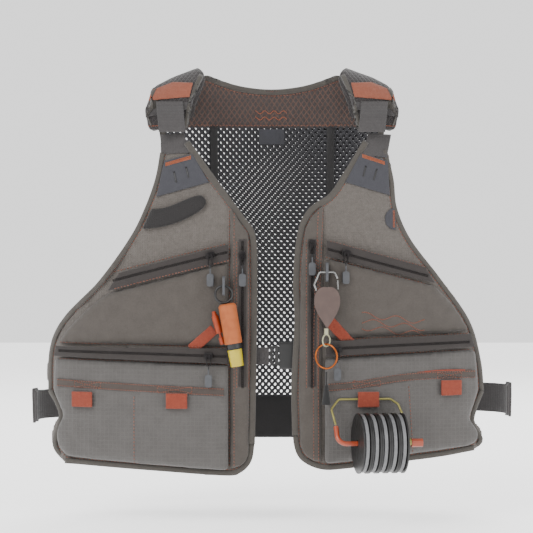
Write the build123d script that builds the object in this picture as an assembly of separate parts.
from build123d import *
import math
import os

os.makedirs("parts", exist_ok=True)

# A fly-fishing vest, worn: +Z up, the fronts face -Y. All sizes are in millimetres.
# It is drawn with the hem at z = 0 and the middle of the torso on the Z axis, then every
# piece is moved so that the middle of the hang loop at the back of the neck is the origin.
HANG_POINT = (0, 81, 478)

# The torso form: (height, half width, half depth) of the ellipses that the cloth follows.
TORSO = [
    (-20, 294, 108), (60, 296, 112), (160, 294, 114), (250, 278, 112),
    (340, 250, 104), (420, 220, 86), (480, 198, 64), (530, 176, 40),
]
CLOTH = 2.5           # front panel thickness
BACK_CLOTH = 3.0      # two mesh layers together
YOKE_PAD = 11.0       # foam yoke thickness
CHEST_POCKET = 12.0   # outer face of the chest pockets, above the torso form
LOWER_POCKET = 18.0   # outer face of the lower pockets
PLACKET = 9.0         # outer face of the plackets
TAPE = 2.0            # zip tape and coil thickness
WEBBING = 1.8         # daisy-chain webbing thickness
STRAP = 2.2           # shoulder and side webbing thickness
GAP = 0.4             # clearance between pieces that move apart
BACK_HEM = 30.0       # height of the back hem
YOKE_HEM = 447.0      # lower edge of the yoke
LOWER_BACK_TOP = 88.0   # seam between the open mesh and the close mesh
PAD_TOP_RADIUS = 56.0  # outer radius of a shoulder pad over the shoulder
PAD_THICKNESS = 10.0
PAD_CENTRE = (125, -8, 452)
SHOULDER_SLOPE = 20.0

# Left front, seen from the front: each row is one smooth edge of the outline (x, z).
LEFT_FRONT = [
    [(-106, 420), (-141, 409)],
    [(-141, 409), (-148, 372), (-161, 335), (-180, 296), (-219, 241), (-267, 193), (-286, 157), (-288, 103)],
    [(-288, 103), (-273, 72)],
    [(-273, 72), (-283, 32), (-266, 12)],
    [(-266, 12), (-215, 9), (-139, 5), (-59, 0), (-39, 4), (-26, 19), (-22, 40)],
    [(-22, 40), (-20, 140), (-19, 242), (-21, 299)],
    [(-21, 299), (-36, 321), (-72, 370), (-106, 420)],
]
LEFT_CHEST = [
    [(-56, 267), (-207, 229)], [(-207, 229), (-262, 181), (-276, 163)], [(-276, 163), (-56, 162)],
    [(-56, 162), (-56, 267)],
]
LEFT_LOWER = [
    [(-55, 139), (-278, 146)], [(-278, 146), (-280, 104)], [(-280, 104), (-265, 72)],
    [(-265, 72), (-273, 34), (-260, 20)], [(-260, 20), (-139, 12), (-55, 7)], [(-55, 7), (-55, 139)],
]
LEFT_PLACKET = [
    [(-53, 9), (-53, 339)], [(-53, 339), (-40, 318), (-29, 302)], [(-29, 302), (-28, 140), (-29, 40)],
    [(-29, 40), (-36, 15), (-53, 9)],
]
LEFT_CHEST_ZIP = [[(-54.5, 290), (-193, 254)], [(-193, 254), (-208, 231)], [(-208, 231), (-54.5, 269)],
                  [(-54.5, 269), (-54.5, 290)]]
LEFT_LOWER_ZIP = [[(-54.5, 160), (-276, 161)], [(-276, 161), (-279, 148)], [(-279, 148), (-54.5, 141)],
                  [(-54.5, 141), (-54.5, 160)]]

RIGHT_FRONT = [
    [(146, 412), (117, 423)],
    [(117, 423), (91, 379), (72, 352), (46, 333), (32, 301)],
    [(32, 301), (27, 241), (29, 195), (25, 119), (26, 51)],
    [(26, 51), (30, 30), (42, 16), (64, 8), (92, 9), (157, 16), (217, 22), (259, 28)],
    [(259, 28), (270, 40), (258, 66)],
    [(258, 66), (271, 103)],
    [(271, 103), (267, 142), (252, 193), (214, 247), (176, 295), (158, 335), (154, 372), (146, 412)],
]
RIGHT_CHEST = [
    [(70, 272), (206, 238)], [(206, 238), (247, 188), (252, 179)], [(252, 179), (66, 172)],
    [(66, 172), (70, 272)],
]
RIGHT_LOWER = [
    [(66, 147), (259, 157)], [(259, 157), (263, 105)], [(263, 105), (250, 68)],
    [(250, 68), (261, 40), (250, 34)], [(250, 34), (157, 24), (66, 15)], [(66, 15), (66, 147)],
]
RIGHT_PLACKET = [
    [(62, 16), (64, 339)], [(64, 339), (52, 328), (40, 304)], [(40, 304), (36, 241), (33, 119), (34, 51)],
    [(34, 51), (43, 24), (62, 16)],
]
RIGHT_CHEST_ZIP = [[(68, 295), (194, 261)], [(194, 261), (206, 241)], [(206, 241), (68, 275)],
                   [(68, 275), (68, 295)]]
RIGHT_LOWER_ZIP = [[(67, 169), (252, 177)], [(252, 177), (258, 160)], [(258, 160), (67, 150)],
                   [(67, 150), (67, 169)]]

BACK = [
    [(0, 498), (46, 503), (86, 516)],
    [(86, 516), (158, 499)],
    [(158, 499), (148, 430), (142, 380), (154, 330), (180, 280), (214, 240), (250, 205)],
    [(250, 205), (258, 120), (248, BACK_HEM)],
    [(248, BACK_HEM), (0, BACK_HEM)],
    [(0, BACK_HEM), (0, 498)],
]

# Daisy-chain strips: (x, z) of the lower edge from the outer end to the placket, and the height.
LEFT_STRIP = [(-274, 110), (-60, 101)]
RIGHT_STRIP = [(70, 107), (107, 110), (170, 119), (258, 121)]
STRIP_HEIGHT = 9.5
TAB_WIDTH = 27.0
TAB_LENGTH = 19.0
LEFT_TABS = [-240, -119]
RIGHT_TABS = [120, 226]
DIAGONALS = {"left": [(-72, 184), (-101, 158)], "right": [(70, 196), (98, 165)]}
DIAGONAL_WIDTH = 14.0

# Zip sliders: (x, z) and the (x, z) that each one travels towards.
SLIDERS = {
    "left_chest": ((-77, 276), (-198, 244), CHEST_POCKET),
    "left_placket": ((-37, 276), (-37, 120), PLACKET),
    "left_lower": ((-79, 151), (-262, 154), LOWER_POCKET),
    "right_chest": ((92, 279), (195, 252), CHEST_POCKET),
    "right_placket": ((50, 290), (50, 120), PLACKET),
    "right_lower": ((81, 159), (245, 167), LOWER_POCKET),
}
SLIDER = (8, 11, 3.6)       # width, length along the chain, thickness
SEAT = 1.5                  # a slider's clearance over its tape
# More of it where the cloth bulges under a slider's straight or round path.
SEAT_LIFT = {"chest": 0.0, "placket": 2.4, "lower": 0.5}
PULL_LOOP = (6.0, 14.0)     # wire loop width and length
PULL_TAB = (9.0, 16.0, 2.4)  # rubber tab width, length, thickness

RETRACTOR = (68, 211)       # centre of the case, seen from the front
RETRACTOR_Y = -140.0
RETRACTOR_SIZE = (32, 51, 11)
RIGHT_EYE = (68, 255)
LEFT_EYE = (-60, 238)
EYE_RADIUS = 3.2
DOCK_THICKNESS = 3.0
KEY_RING = (150.8, 15, 1.2)  # height, mean radius, wire radius
BOTTLE_TOP = (-56, 216)
BOTTLE_TILT = 9.5
BOTTLE_Y = -142.0
BOTTLE_RADIUS = 9.0
SLEEVE_RADIUS = 11.0
SLEEVE_LENGTH = 50.0

BAIL_TOP = (120, -124.9, 97)  # the middle of the tab that the bail swings in
BAIL_TURN = 10.0            # the bail follows the curve of the pocket
BAIL_TILT = 34.0            # how far the spools push it forward
BAIL_WIRE = 1.4
AXLE_DROP = 63.0            # axle below the bail's top line, in the bail's plane
AXLE_RADIUS = 3.0
SPOOL_RADIUS = 37.0
SPOOL_WIDTH = 11.2
SPOOL_PITCH = 11.5
SPOOL_START = 98.0
SPOOLS = 5

BUCKLE_Y = -99.0
BUCKLE_Z = 150.0


def write(node, solid):
    """Moves a piece so that the hang point is the origin and writes it."""
    placed = solid.moved(Location((-HANG_POINT[0], -HANG_POINT[1], -HANG_POINT[2])))
    export_step(placed, f"parts/{node}.step")


def torso(grow):
    """The torso form, grown outwards by a distance."""
    rings = [Plane.XY.offset(z) * Ellipse(a + grow, b + grow) for z, a, b in TORSO]
    return loft(rings)


def depth(x, z, grow=0.0):
    """How far forward of the Z axis the grown torso form is at a place on the front."""
    for (z0, a0, b0), (z1, a1, b1) in zip(TORSO, TORSO[1:]):
        if z0 <= z <= z1:
            part = (z - z0) / (z1 - z0)
            half_width = a0 + (a1 - a0) * part + grow
            half_depth = b0 + (b1 - b0) * part + grow
    return half_depth * math.sqrt(max(0.0, 1 - (x / half_width) ** 2))


FORMS = {}


def form(grow):
    if grow not in FORMS:
        FORMS[grow] = torso(grow)
    return FORMS[grow]


def edges(rows):
    """The outline's edges: a straight line for a row of two points, a smooth curve for more."""
    points = [[(x, 0, z) for x, z in row] for row in rows]
    return [Line(*row) if len(row) == 2 else Spline(*row) for row in points]


def prism(rows, front=True):
    """A flat outline, seen from the front, pushed through the front or the back half."""
    face = make_face(Curve() + edges(rows))
    return extrude(face, amount=400, dir=(0, -1 if front else 1, 0))


def layer(rows, inner, outer, front=True):
    """The cloth or pocket under an outline, between two distances from the torso form."""
    return prism(rows, front) & (form(outer) - form(inner))


def box_between(low, high):
    size = [b - a for a, b in zip(low, high)]
    middle = [(a + b) / 2 for a, b in zip(low, high)]
    return Pos(*middle) * Box(*size)


def band_outline(points, height):
    """An outline that follows points along its lower edge and is a given height."""
    upper = [(x, z + height) for x, z in reversed(points)]
    return [points, [points[-1], upper[0]], upper, [upper[-1], points[0]]]


def slanted_outline(start, end, width):
    """The outline of a straight strip of webbing between two places."""
    along = Vector(end[0] - start[0], 0, end[1] - start[1]).normalized()
    side = Vector(-along.Z, 0, along.X) * (width / 2)
    corners = [
        (start[0] + side.X, start[1] + side.Z), (end[0] + side.X, end[1] + side.Z),
        (end[0] - side.X, end[1] - side.Z), (start[0] - side.X, start[1] - side.Z),
    ]
    return [[a, b] for a, b in zip(corners, corners[1:] + corners[:1])]


def polygon(corners):
    return [[a, b] for a, b in zip(corners, corners[1:] + corners[:1])]


def wire_ring(x, y, z, radius, wire, turn=0):
    """A round wire ring that faces the front, or is turned about the vertical."""
    return Pos(x, y, z) * (Rot(0, 0, turn) * (Rot(90, 0, 0) * Torus(radius, wire)))


# Back, yoke and shoulders

def mirrored(rows):
    return [[(-x, z) for x, z in row] for row in rows]


def back_prism():
    whole = prism(BACK, front=False) + prism(mirrored(BACK), front=False)
    return whole & box_between((-400, 34, -10), (400, 400, 600))


def make_back():
    outline = back_prism()
    skin = outline & (form(BACK_CLOTH) - form(0))
    above = box_between((-400, 0, LOWER_BACK_TOP), (400, 400, YOKE_HEM))
    below = box_between((-400, 0, -10), (400, 400, LOWER_BACK_TOP))
    top = box_between((-400, 0, YOKE_HEM), (400, 400, 600))
    write("back_mesh", skin & above)
    write("lower_back_panel", outline & (form(BACK_CLOTH + 1) - form(0)) & below)
    write("yoke", outline & (form(YOKE_PAD - 3) - form(-3)) & top)


def pad_outline(side):
    corners = [(-158, 436), (-164, 462), (-153, 494), (-131, 507), (-95, 521), (-86, 512), (-100, 477), (-108, 436)]
    return [(-side * x, z) for x, z in corners]


def pad_shell(side, inner, outer):
    """A tilted arch over one shoulder, with its front end running down the chest."""
    x, y, z = PAD_CENTRE
    ring = Cylinder(outer, 150, rotation=(0, 90, 0)) - Cylinder(inner, 160, rotation=(0, 90, 0))
    upper = ring & box_between((-80, -80, 0), (80, 80, 80))
    drop = box_between((-75, -outer, -60), (75, -inner, 0))
    arch = Rot(0, side * SHOULDER_SLOPE, 0) * (upper + drop)
    return Pos(side * x, y, z) * arch


def pad_prism(corners):
    """The outline pushed forward from the top of the shoulder, and backward inside the yoke."""
    face = make_face(Curve() + edges(polygon(corners)))
    return extrude(face, amount=120, dir=(0, -1, 0)) + (extrude(face, amount=60, dir=(0, 1, 0)) & form(-3.4))


def make_shoulders():
    pads = []
    bands = []
    outer = PAD_TOP_RADIUS
    for side in (-1, 1):
        pads.append(pad_shell(side, outer - PAD_THICKNESS, outer) & pad_prism(pad_outline(side)))
        front = box_between((-400, -200, 437), (400, -8, 520))
        band = [(-side * x, z) for x, z in [(-158, 474), (-155, 488), (-127, 499), (-101, 497), (-105, 478)]]
        keeper = [(-side * x, z) for x, z in [(-161, 452), (-161, 462), (-107, 472), (-107, 462)]]
        for corners in (band, keeper):
            bands.append(pad_shell(side, outer, outer + 2) & pad_prism(corners) & front)
    write("shoulder_pads", Compound(children=pads))
    write("shoulder_bands", Compound(children=bands))


def make_hang_loop():
    """A flat webbing loop that stands off the back of the yoke, and the label inside it."""
    plate = box_between((-34, 60, 468), (34, 87, 478)) - box_between((-28, 40, 460), (28, 85, 490))
    plate = fillet(plate.edges().filter_by(Axis.Z).group_by(Axis.Y)[-1], 4)
    write("hang_loop", plate - form(YOKE_PAD - 3))
    label = polygon([(-29, 454), (29, 454), (29, 474), (-29, 474)])
    write("neck_label", layer(label, -4.2, -3.2, front=False))


def make_side_adjusters():
    """Webbing round each side, from the back panel to the front, with a ladder lock on it."""
    pieces = []
    for side, low, high in ((-1, 62, 100), (1, 70, 108)):
        shell = form(10 + STRAP) - form(10)
        strap = shell & box_between((min(0, side * 400), -14, low), (max(0, side * 400), 60, high))
        lock = (form(15.5) - form(10 + STRAP)) & box_between(
            (min(0, side * 400), -12, low - 3), (max(0, side * 400), 16, high + 3))
        pieces += [strap, lock]
    write("side_adjusters", Compound(children=pieces))


# Fronts

def make_front(side, outline, chest, lower, placket, chest_zip, lower_zip):
    zip_x = {"left": -37, "right": 50}[side]
    write(f"{side}_front_panel", layer(outline, 0, CLOTH))
    write(f"{side}_chest_pocket", layer(chest, CLOTH, CHEST_POCKET))
    write(f"{side}_lower_pocket", layer(lower, CLOTH, LOWER_POCKET))
    write(f"{side}_placket", layer(placket, CLOTH, PLACKET))
    upright = polygon([(zip_x - 5, 112), (zip_x + 5, 112), (zip_x + 5, 296), (zip_x - 5, 296)])
    tapes = [layer(chest_zip, CHEST_POCKET - TAPE, CHEST_POCKET), layer(lower_zip, LOWER_POCKET - TAPE, LOWER_POCKET)]
    tapes.append(layer(upright, PLACKET, PLACKET + 1))
    write(f"{side}_zip_tapes", Compound(children=tapes))


def strap_shape(side):
    """The shoulder strap's webbing and the patch that it is sewn to, seen from the front."""
    if side == "left":
        return [(-141, 404), (-142, 430), (-112, 432), (-103, 406)], [(-137, 396), (-101, 405), (-79, 368), (-146, 350)]
    return [(115, 404), (122, 432), (152, 430), (146, 400)], [(112, 405), (147, 396), (149, 352), (92, 368)]


def make_strap(side):
    webbing, patch = strap_shape(side)
    pieces = [layer(polygon(webbing), CLOTH + 0.2, CLOTH + 0.2 + STRAP) - form(CLOTH + 0.1)]
    pieces.append(layer(polygon(patch), CLOTH, CLOTH + 2.4) - pieces[0])
    if side == "right":
        x, z = 156, 322
        round_patch = extrude(Plane.XZ * Pos(x, z) * Circle(14), amount=400)
        half = round_patch & box_between((x - 14, -400, 290), (x, 400, 350))
        pieces.append(half & (form(CLOTH + 1.6) - form(CLOTH)))
    write(f"{side}_shoulder_strap", Compound(children=pieces))


def make_webbing(side, strip, tabs):
    """The daisy-chain strip, two loops that hang from it, and the diagonal webbing above."""
    pieces = [layer(band_outline(strip, STRIP_HEIGHT), LOWER_POCKET, LOWER_POCKET + WEBBING)]
    for x in tabs:
        z = 104 + (x > 0) * 2 + (x > 200) * 13
        corners = [(x - TAB_WIDTH / 2, z - TAB_LENGTH), (x + TAB_WIDTH / 2, z - TAB_LENGTH),
                   (x + TAB_WIDTH / 2, z), (x - TAB_WIDTH / 2, z)]
        outer = layer(polygon(corners), LOWER_POCKET, LOWER_POCKET + 6.8)
        hole = [(x - 40, z - TAB_LENGTH + 2), (x + 40, z - TAB_LENGTH + 2), (x + 40, z - 3), (x - 40, z - 3)]
        pieces.append(outer - layer(polygon(hole), LOWER_POCKET + 1.5, LOWER_POCKET + 5.3))
    diagonal = slanted_outline(*DIAGONALS[side], DIAGONAL_WIDTH)
    pieces.append(layer(diagonal, CHEST_POCKET, CHEST_POCKET + 1.6))
    write(f"{side}_webbing", Compound(children=pieces))


def make_foam_patch():
    rows = [
        [(-152, 335), (-136, 336), (-112, 345), (-89, 352)], [(-89, 352), (-83, 343), (-88, 334)],
        [(-88, 334), (-106, 323), (-145, 311)], [(-145, 311), (-164, 309)], [(-164, 309), (-152, 335)],
    ]
    write("foam_fly_patch", layer(rows, CLOTH, CLOTH + 9))


def make_closure():
    """Two straps sewn inside the fronts and the two halves of the buckle behind the opening."""
    left = box_between((-66, -107, BUCKLE_Z - 11), (-3.5, -105.4, BUCKLE_Z + 11))
    write("left_closure_strap", left)
    female = box_between((9, BUCKLE_Y - 5.5, BUCKLE_Z - 17), (44, BUCKLE_Y + 5.5, BUCKLE_Z + 17))
    female = fillet(female.edges().filter_by(Axis.X), 3)
    pocket = box_between((5, BUCKLE_Y - 3, BUCKLE_Z - 12.5), (36, BUCKLE_Y + 3, BUCKLE_Z + 12.5))
    right = box_between((40, -107, BUCKLE_Z - 11), (84, -105.4, BUCKLE_Z + 11))
    write("buckle_female", female - pocket)
    write("right_closure_strap", right)
    stem = box_between((-2.5, BUCKLE_Y - 4.8, BUCKLE_Z - 12), (8, BUCKLE_Y + 4.8, BUCKLE_Z + 12))
    stem -= box_between((1, BUCKLE_Y - 9, BUCKLE_Z - 10), (3.5, BUCKLE_Y + 9, BUCKLE_Z + 10))
    male = stem
    for z in (BUCKLE_Z - 9.5, BUCKLE_Z, BUCKLE_Z + 9.5):
        male += box_between((7, BUCKLE_Y - 2.4, z - 2), (32, BUCKLE_Y + 2.4, z + 2))
    write("buckle_male", male)


# Zips

def slider_pose(name):
    """The slider's seat on its tape, with its own Y pointing into the cloth."""
    (x, z), _, grow = SLIDERS[name]
    seat = grow + SEAT_LIFT[name.split("_")[1]] + SEAT
    slope = (depth(x + 2, z) - depth(x - 2, z)) / 4
    return x, -depth(x, z, seat), z, math.degrees(math.atan(-slope))


def make_slider(name):
    x, y, z, turn = slider_pose(name)
    (_, _), (x1, z1), _ = SLIDERS[name]
    roll = math.degrees(math.atan2(z1 - z, x1 - x))
    width, length, thick = SLIDER
    body = Pos(0, -thick / 2, 0) * Box(length, thick, width)
    body = fillet(body.edges().filter_by(Axis.Y), 2)
    bridge = Pos(0, -thick - 0.9, 0) * (Box(7, 1.8, 3.2))
    write(f"{name}_slider", Pos(x, y, z) * (Rot(0, 0, turn) * (Rot(0, -roll, 0) * (body + bridge))))


def make_pull(name):
    """A wire loop, a short cord and a moulded rubber tab, hanging from the slider's bridge."""
    x, y, z, turn = slider_pose(name)
    width, length = PULL_LOOP
    tab_width, tab_length, tab_thick = PULL_TAB
    out = y - SLIDER[2] - 3.0
    loop = Box(width, 1.4, length) - Box(width - 2.6, 3, length - 2.6)
    cord = Pos(0, 0, -length / 2 - 5) * Cylinder(1.0, 11)
    tab = Pos(0, 0, -length / 2 - 10 - tab_length / 2) * Box(tab_width, tab_thick, tab_length)
    tab = fillet(tab.edges().filter_by(Axis.Y), 3)
    pull = loop + cord + tab
    write(f"{name}_pull", Pos(x, out, z - length / 2 + 1) * (Rot(0, 0, turn) * pull))


# Docking tabs, retractor, bottle and tool

def make_docks():
    """A rubber tab on each placket seam that stands forward, with an eyelet across it."""
    for side, (x, z), y in (("left", LEFT_EYE, BOTTLE_Y), ("right", RIGHT_EYE, RETRACTOR_Y)):
        root = -depth(x, z, CLOTH + 0.2)
        plate = box_between((x - DOCK_THICKNESS / 2, y - 7, z - 12), (x + DOCK_THICKNESS / 2, root, z + 12))
        plate = fillet(plate.edges().filter_by(Axis.X), 4)
        eye = Pos(x, y, z) * Cylinder(EYE_RADIUS, 20, rotation=(0, 90, 0))
        write(f"{side}_dock_tab", plate - eye - form(CHEST_POCKET + 0.2))


def make_retractor():
    x, z = RETRACTOR
    width, height, thick = RETRACTOR_SIZE
    y = RETRACTOR_Y
    top = z + height / 2
    outline = [
        [(x, top), (x + 11, top - 3), (x + width / 2, top - 15), (x + 12, top - 32), (x, top - height)],
        [(x, top - height), (x - 12, top - 32), (x - width / 2, top - 15), (x - 11, top - 3), (x, top)],
    ]
    face = make_face(Curve() + edges(outline))
    case = Pos(0, y + thick / 2, 0) * extrude(face, amount=thick, dir=(0, -1, 0))
    rivets = []
    for dx, dz in ((-10, top - 12), (10, top - 12), (-8.5, top - 31), (8.5, top - 31)):
        rivets.append(Pos(x + dx, y - thick / 2 - 0.4, dz) * Cylinder(1.7, 0.8, rotation=(90, 0, 0)))
    write("retractor_case", Compound(children=[case] + rivets))
    path = FilletPolyline(
        (x - 13, y, top - 4.5), (x - 16, y, top + 3), (x - 9, y, 255), (x + 9, y, 255), (x + 13, y, 247), radius=3.5)
    section = Plane(origin=path @ 0, z_dir=path % 0) * Circle(1.4)
    write("retractor_carabiner", sweep(section, path) - case)
    gate_end = Vector(x + 13, y, 246.2)
    gate_foot = Vector(x + 13.5, y, top - 4)
    middle = (gate_end + gate_foot) * 0.5
    gate = Cylinder(1.2, (gate_end - gate_foot).length - 2.4)
    tilt = math.degrees(math.atan2(gate_end.X - gate_foot.X, gate_end.Z - gate_foot.Z))
    write("retractor_gate", (Pos(middle.X, y, middle.Z) * (Rot(0, tilt, 0) * gate)))
    crimp = Pos(x - 1, y, 181.5) * Cylinder(2.6, 7.4)
    ring = wire_ring(x - 1, y, 170.5, 7.3, 0.9, turn=50)
    write("retractor_crimp", crimp + ring)
    kz, radius, wire = KEY_RING
    write("key_ring", wire_ring(x - 1, y, kz, radius, wire, turn=-30))
    cord = Pos(x - 1, y, 123) * Cylinder(1.0, 17)
    tassel = Pos(x - 1, y, 103) * Cone(5.8, 2.2, 24)
    write("tassel", cord + tassel)


def tilted(x, y, z, piece):
    """Hangs a piece from a place, with its foot leaning towards the vest's opening."""
    return Pos(x, y, z) * (Rot(0, -BOTTLE_TILT, 0) * piece)


def make_bottle():
    x, z = BOTTLE_TOP
    y = BOTTLE_Y
    write("bottle_ring", wire_ring(LEFT_EYE[0], y, LEFT_EYE[1] - 10.5, 10.5, 1.5))
    solid = Pos(0, 0, -SLEEVE_LENGTH / 2) * Cylinder(SLEEVE_RADIUS, SLEEVE_LENGTH)
    solid = fillet(solid.edges().group_by(Axis.Z)[-1], 4)
    bore = Pos(0, 0, -SLEEVE_LENGTH / 2 - 3) * Cylinder(BOTTLE_RADIUS + GAP, SLEEVE_LENGTH)
    write("bottle_sleeve", tilted(x, y, z, solid - bore))
    body = Pos(0, 0, -SLEEVE_LENGTH / 2 - 2.5) * Cylinder(BOTTLE_RADIUS, SLEEVE_LENGTH - 3)
    collar = Pos(0, 0, -SLEEVE_LENGTH - 3.5) * Cylinder(SLEEVE_RADIUS - 1.5, 6)
    neck = Pos(0, 0, -SLEEVE_LENGTH - 9) * Cylinder(5, 8)
    write("bottle", tilted(x, y, z, body + collar + neck))
    cap = Pos(0, 0, -SLEEVE_LENGTH - 18.0) * Cone(9, 8, 21, rotation=(180, 0, 0))
    bore = Pos(0, 0, -SLEEVE_LENGTH - 10) * Cylinder(5 + GAP, 7.5)
    write("bottle_cap", tilted(x, y, z, cap - bore))
    body = Cylinder(4.5, 22) + Pos(0, 0, 13.5) * Cone(3.6, 2.2, 7)
    body += Pos(0, 0, -15) * Cylinder(1.6, 8) + Pos(0, 0, -21) * Cylinder(3.4, 9)
    write("knot_tool", Pos(-68, -133, 190) * (Rot(0, -16, 0) * body))


# Tippet holder

def in_bail(x, drop):
    """A place in the bail's plane, by its distance below the top line."""
    lean = math.radians(BAIL_TILT)
    turn = math.radians(BAIL_TURN)
    along = x - BAIL_TOP[0]
    out = drop * math.sin(lean)
    return (BAIL_TOP[0] + along * math.cos(turn) + out * math.sin(turn),
            BAIL_TOP[1] + along * math.sin(turn) - out * math.cos(turn),
            BAIL_TOP[2] - drop * math.cos(lean))


def on_axle(x, piece):
    """Sets a piece, made round the Z axis, on the spool axle."""
    return Pos(*in_bail(x, AXLE_DROP)) * (Rot(0, 0, BAIL_TURN) * (Rot(0, 90, 0) * piece))


def make_tippet_holder():
    points = [(74, 36), (71, 14), (82, 0), (148, 0), (157, 8), (162, 30), (163, 57)]
    path = FilletPolyline(*[in_bail(x, drop) for x, drop in points], radius=6)
    wire = sweep(Plane(origin=path @ 0, z_dir=path % 0) * Circle(BAIL_WIRE), path)
    clip = on_axle(163, Cylinder(6.5, 4) - Cylinder(3.6, 5))
    mouth = Pos(*in_bail(163, AXLE_DROP + 6)) * (Rot(0, 0, BAIL_TURN) * (Rot(-BAIL_TILT, 0, 0) * Box(6, 7.6, 12)))
    write("tippet_bail", Compound(children=[wire, (clip - mouth) - wire]))
    points = [(74, 39), (74, AXLE_DROP), (160, AXLE_DROP)]
    path = FilletPolyline(*[in_bail(x, drop) for x, drop in points], radius=11)
    axle = sweep(Plane(origin=path @ 0, z_dir=path % 0) * Circle(AXLE_RADIUS), path)
    write("tippet_axle", axle)
    knob = on_axle(163, Cylinder(3.0, 6)) + on_axle(173, Cylinder(5.2, 14))
    write("tippet_knob", knob)
    for i in range(SPOOLS):
        profile = [(4.2, 0), (SPOOL_RADIUS, 0), (SPOOL_RADIUS, 2), (SPOOL_RADIUS - 4, 3), (SPOOL_RADIUS - 4, 8.2),
                   (SPOOL_RADIUS, 9.2), (SPOOL_RADIUS, SPOOL_WIDTH), (4.2, SPOOL_WIDTH)]
        face = make_face(Polyline(*[(r, 0, h) for r, h in profile], close=True))
        write(f"tippet_spool_{i + 1}", on_axle(SPOOL_START + i * SPOOL_PITCH, revolve(face, Axis.Z)))


make_back()
make_shoulders()
make_hang_loop()
make_side_adjusters()
make_front("left", LEFT_FRONT, LEFT_CHEST, LEFT_LOWER, LEFT_PLACKET, LEFT_CHEST_ZIP, LEFT_LOWER_ZIP)
make_front("right", RIGHT_FRONT, RIGHT_CHEST, RIGHT_LOWER, RIGHT_PLACKET, RIGHT_CHEST_ZIP, RIGHT_LOWER_ZIP)
for side, strip, tabs in (("left", LEFT_STRIP, LEFT_TABS), ("right", RIGHT_STRIP, RIGHT_TABS)):
    make_strap(side)
    make_webbing(side, strip, tabs)
make_foam_patch()
make_closure()
for zip_name in SLIDERS:
    make_slider(zip_name)
    make_pull(zip_name)
make_docks()
make_retractor()
make_bottle()
make_tippet_holder()
